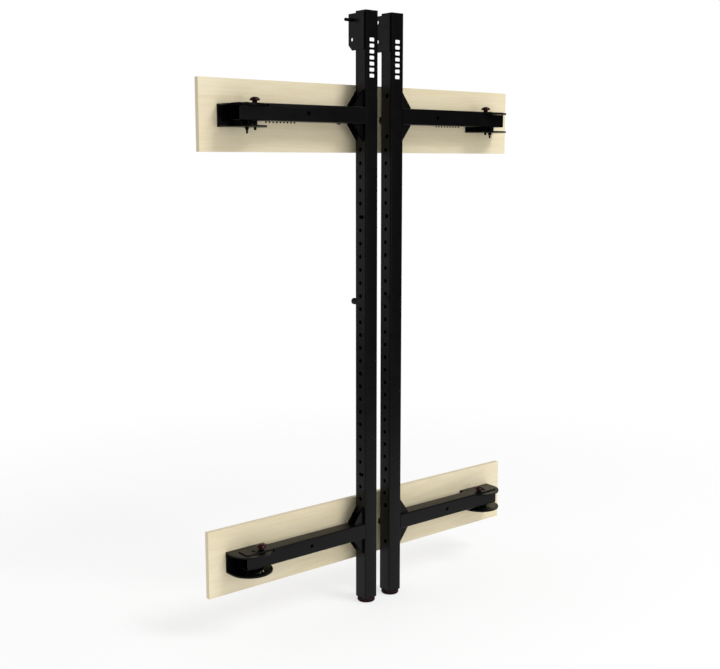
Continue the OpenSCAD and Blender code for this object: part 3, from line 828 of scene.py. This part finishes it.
def lock_pin(node):
    """A round-nosed pin with a groove round it."""
    low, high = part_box(node)
    radius, length = (high.x - low.x) / 2, high.z - low.z
    groove, depth, end = 46 * MM, 0.8 * MM, 0.6 * MM
    bm = bmesh.new()
    add_lathe(bm, [(0, 0), (radius * 0.45, 0), (radius * 0.6, 0.3 * MM), (radius * 0.97, 2.2 * MM),
                   (radius, 3 * MM), (radius, groove), (radius - depth, groove + depth),
                   (radius - depth, groove + 2.2 * MM), (radius, groove + 3 * MM),
                   (radius, length - end), (radius - end, length), (0, length)], upward(low, high))
    stand_in(node, bm, [STEEL])


def lock_knob(node):
    """A mushroom knob: a domed cap with a rolled rim on a waisted neck."""
    low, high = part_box(node)
    radius, height = (high.x - low.x) / 2, high.z - low.z
    bore, rim, steps = 5.2 * MM, 9.6 * MM, 12
    dome = []
    for k in range(steps):
        angle = math.radians(90 * k / steps)
        dome.append((radius * math.cos(angle), rim + (height - rim) * math.sin(angle)))
    dome.append((0, height))
    bm = bmesh.new()
    add_lathe(bm, [(bore, 11 * MM), (bore, 0.5 * MM), (bore + 0.5 * MM, 0), (9.3 * MM, 0),
                   (9.9 * MM, 0.6 * MM), (9.9 * MM, 1.8 * MM), (9.2 * MM, 2.6 * MM),
                   (8.6 * MM, 4.6 * MM), (8.8 * MM, 6.6 * MM), (9.8 * MM, 7.6 * MM),
                   (12 * MM, 8.1 * MM), (radius - 2 * MM, 8.1 * MM), (radius - 0.6 * MM, 8.5 * MM),
                   *dome], upward(low, high), 72)
    close_open_end(bm)
    stand_in(node, bm, [RED], SOFT)


for side in SIDES:
    for level in LEVELS:
        lock_pin(f"lock_pin_{level}_{side}")
        lock_knob(f"lock_knob_{level}_{side}")


# ---------------------------------------------------------------- top pin, buffer and feet

def top_pin():
    """A headed pin from the right through the left-hand plate, grooved near its other end."""
    low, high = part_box("top_plate_pin")
    length, head_r = high.x - low.x, (high.z - low.z) / 2
    head, radius = 6 * MM, 5.95 * MM
    groove = radius - 0.7 * MM
    bm = bmesh.new()
    add_lathe(bm, [(0, 0), (head_r - 2 * MM, 0), (head_r - 0.6 * MM, 0.6 * MM), (head_r, 1.8 * MM),
                   (head_r, head - 0.5 * MM), (head_r - 0.5 * MM, head), (radius, head),
                   (radius, length - 8 * MM), (groove, length - 7.4 * MM),
                   (groove, length - 6 * MM), (radius, length - 5.4 * MM),
                   (radius, length - 2 * MM), (radius - 2 * MM, length), (0, length)],
              sideways(low, high, -1))
    stand_in("top_plate_pin", bm, [STEEL])


def wall_buffer():
    """A rubber stop: a waisted body with a thick rim against the wall, on a stud with a nut."""
    low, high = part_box("wall_buffer")
    length, radius = high.y - low.y, (high.x - low.x) / 2
    curve, waist = 4 * MM, radius - 3 * MM
    hollow = length - 1.2 * MM
    bm = bmesh.new()
    add_lathe(bm, [(3.8 * MM, 0.3 * MM), (4.2 * MM, 0), (radius - 1 * MM, 0), (radius, 1 * MM),
                   (radius, 4 * MM), (radius - 1.6 * MM, 6 * MM), (waist, length * 0.3),
                   (waist, length * 0.52), (radius - 1.4 * MM, length * 0.6),
                   (radius, length * 0.66),
                   *rounded(radius - curve, length - curve, curve, (0, 20, 40, 60, 80, 90)),
                   (radius * 0.35, length - 0.2 * MM), (radius * 0.3, hollow), (0, hollow)],
              backward(low, high), 56)
    close_open_end(bm)
    stand_in("wall_buffer", bm, [BLACK_RUBBER], SOFT)
    low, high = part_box("buffer_stud")
    bm = bmesh.new()
    add_thread(bm, backward(low, high), M8_THREAD, 0, high.y - low.y, M8_PITCH)
    stand_in("buffer_stud", bm, [ZINC])
    low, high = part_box("buffer_nut")
    bm = bmesh.new()
    add_nut(bm, backward(low, high), M8_FLATS, high.y - low.y, M8_BORE)
    stand_in("buffer_nut", bm, [STEEL])


def foot(side):
    """A round levelling foot: a dished pad with a groove and ribs round it, on a threaded stud."""
    low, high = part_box(f"foot_pad_{side}")
    radius, height = (high.x - low.x) / 2, high.z - low.z
    bore, curve = 6.2 * MM, 4.6 * MM
    ribs = fluted(radius - 0.2 * MM, 0.9 * MM)
    mouth = height - 0.8 * MM
    bm = bmesh.new()
    add_lathe(bm, [
        (0, 1.2 * MM), (22 * MM, 1.2 * MM), (23 * MM, 0), (27 * MM, 0), (28 * MM, 0.9 * MM),
        (29.5 * MM, 0.9 * MM), (30.2 * MM, 0.2 * MM),
        *rounded(radius - curve, 4.8 * MM, curve, (-80, -60, -40, -20, 0)),
        (radius, 6.6 * MM), (radius - 0.4 * MM, 7.3 * MM), (radius - 1.8 * MM, 7.6 * MM),
        (radius - 2.1 * MM, 8.2 * MM), (radius - 1.8 * MM, 8.8 * MM),
        (fluted(radius - 0.5 * MM, 0.7 * MM), 9.4 * MM), (ribs, 11 * MM), (ribs, 13.6 * MM),
        (fluted(radius - 0.9 * MM, 0.7 * MM), 15 * MM), (radius - 2.8 * MM, 16.1 * MM),
        (radius - 5 * MM, height), (12 * MM, height), (11 * MM, mouth), (bore + 0.6 * MM, mouth),
        (bore, height - 1.4 * MM), (bore, 9 * MM), (0, 9 * MM)], upward(low, high), 192)
    stand_in(f"foot_pad_{side}", bm, [RUBBER])
    low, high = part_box(f"foot_stud_{side}")
    crest = (high.x - low.x) / 2 - 0.05 * MM
    bm = bmesh.new()
    add_thread(bm, upward(low, high), crest, 0, high.z - low.z, M12_PITCH)
    stand_in(f"foot_stud_{side}", bm, [ZINC])


top_pin()
wall_buffer()
for side in SIDES:
    foot(side)


# ---------------------------------------------------------------- plain white mark on the uprights

def striped_mark(side):
    """Seven plain bars one above the other, printed on the front face."""
    low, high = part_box(f"upright_{side}")
    x, front = (low.x + high.x) / 2, low.y
    bottom, top = 2031 * MM, 2182 * MM
    width, bars = 21 * MM, 7
    thickness, proud, corner = 0.3 * MM, 0.2 * MM, 1.4 * MM
    y = front - proud + thickness / 2
    pitch = (top - bottom) / bars
    bm = bmesh.new()
    for i in range(bars):
        z = bottom + pitch * i + pitch / 2
        size = Matrix.Diagonal((width, thickness, pitch * 0.6, 1))
        bar = bmesh.ops.create_cube(bm, size=1, matrix=Matrix.Translation((x, y, z)) @ size)
        edges = dict.fromkeys(edge for vert in bar["verts"] for edge in vert.link_edges)
        corners = [e for e in edges if abs(e.verts[0].co.y - e.verts[1].co.y) > thickness / 2]
        bmesh.ops.bevel(bm, geom=corners, offset=corner, segments=4, affect="EDGES")
    mesh_object(f"plain_mark_{side}", bm, [PAINT], f"{side}_frame")


for side in SIDES:
    striped_mark(side)


# ---------------------------------------------------------------- stage, light and camera

FADE_FROM, FADE_TO, FLOOR_END = 1.2, 3.8, 6     # metres from the floor's middle
AMBIENT = 0.69          # the studio's strength where it lights a surface
REFLECTED = 0.035       # and where a surface mirrors it

CAMERA_PLACE = (-2.7058, -3.1941, 1.7287)
CAMERA_TILT, CAMERA_TURN = 80.99, -39.36        # degrees
CAMERA_LENS, CAMERA_SENSOR = 54.49, 36          # millimetres


def floor():
    """A pale disc of floor that fades out into the white surroundings."""
    bm = bmesh.new()
    add_lathe(bm, [(0, 0), (1.5, 0), (3, 0), (FLOOR_END, 0)], Matrix.Identity(4), 96)
    mesh = bpy.data.meshes.new("floor")
    bm.to_mesh(mesh)
    bm.free()
    s = Shader("floor", Base_Color=(0.36, 0.36, 0.36, 1), Roughness=0.6, Specular_IOR_Level=0.1,
               Emission_Color=(1, 1, 1, 1), Emission_Strength=0.62)
    distance = s.node("ShaderNodeVectorMath", operation="LENGTH")
    fade = s.node("ShaderNodeMapRange", interpolation_type="SMOOTHSTEP")
    fade.inputs["From Min"].default_value = FADE_FROM
    fade.inputs["From Max"].default_value = FADE_TO
    clear = s.node("ShaderNodeBsdfTransparent")
    mix = s.node("ShaderNodeMixShader")
    s.link(s.place, distance.inputs[0])
    s.link(distance.outputs["Value"], fade.inputs["Value"])
    s.link(fade.outputs["Result"], mix.inputs["Fac"])
    s.link(s.principled.outputs["BSDF"], mix.inputs[1])
    s.link(clear.outputs["BSDF"], mix.inputs[2])
    s.link(mix.outputs["Shader"], s.tree.nodes["Material Output"].inputs["Surface"])
    mesh.materials.append(s.material)
    piece = bpy.data.objects.new("floor", mesh)
    bpy.context.scene.collection.objects.link(piece)


def softbox(name, place, target, size, power, shine):
    """A rectangle of light, its size in metres and its power in watts. shine is how strongly it
    shows in a gloss."""
    light = bpy.data.lights.new(name, "AREA")
    light.shape = "RECTANGLE"
    light.size, light.size_y = size
    light.energy = power
    light.specular_factor = shine
    piece = bpy.data.objects.new(name, light)
    piece.location = place
    piece.rotation_euler = (Vector(target) - Vector(place)).to_track_quat("-Z", "Y").to_euler()
    bpy.context.scene.collection.objects.link(piece)


def surroundings():
    """White to the camera, and a dimmer studio to whatever is lit by it or reflects it."""
    world = bpy.data.worlds.new("studio")
    bpy.context.scene.world = world
    world.use_nodes = True
    tree = world.node_tree
    ray = tree.nodes.new("ShaderNodeLightPath")

    def glow(strength):
        made = tree.nodes.new("ShaderNodeBackground")
        made.inputs["Color"].default_value = (1, 1, 1, 1)
        made.inputs["Strength"].default_value = strength
        return made.outputs["Background"]

    shader = glow(AMBIENT)
    for output, strength in (("Is Glossy Ray", REFLECTED), ("Is Camera Ray", 1.0)):
        mix = tree.nodes.new("ShaderNodeMixShader")
        tree.links.new(ray.outputs[output], mix.inputs["Fac"])
        tree.links.new(shader, mix.inputs[1])
        tree.links.new(glow(strength), mix.inputs[2])
        shader = mix.outputs["Shader"]
    tree.links.new(shader, tree.nodes["World Output"].inputs["Surface"])


def photographer():
    """The camera, where the photograph was taken from."""
    camera = bpy.data.cameras.new("camera")
    camera.lens = CAMERA_LENS
    camera.sensor_width = CAMERA_SENSOR
    camera.dof.use_dof = False
    camera.clip_end = 200
    viewer = bpy.data.objects.new("camera", camera)
    viewer.location = CAMERA_PLACE
    viewer.rotation_euler = (math.radians(CAMERA_TILT), 0, math.radians(CAMERA_TURN))
    bpy.context.scene.collection.objects.link(viewer)
    bpy.context.scene.camera = viewer


floor()
surroundings()
softbox("key_light", (2.5, -5.4, 7.6), (0, 0, 1.1), (3.4, 3.4), 360, 0.05)
softbox("low_light", (1.0, -5.2, 1.2), (0, 0, 0.4), (2.4, 1.6), 42, 0.0)
softbox("side_light", (-3.5, 3.5, 1.9), (0, 0, 1.3), (2.4, 3.4), 28, 1.0)
photographer()
bpy.context.scene.view_settings.view_transform = "Standard"
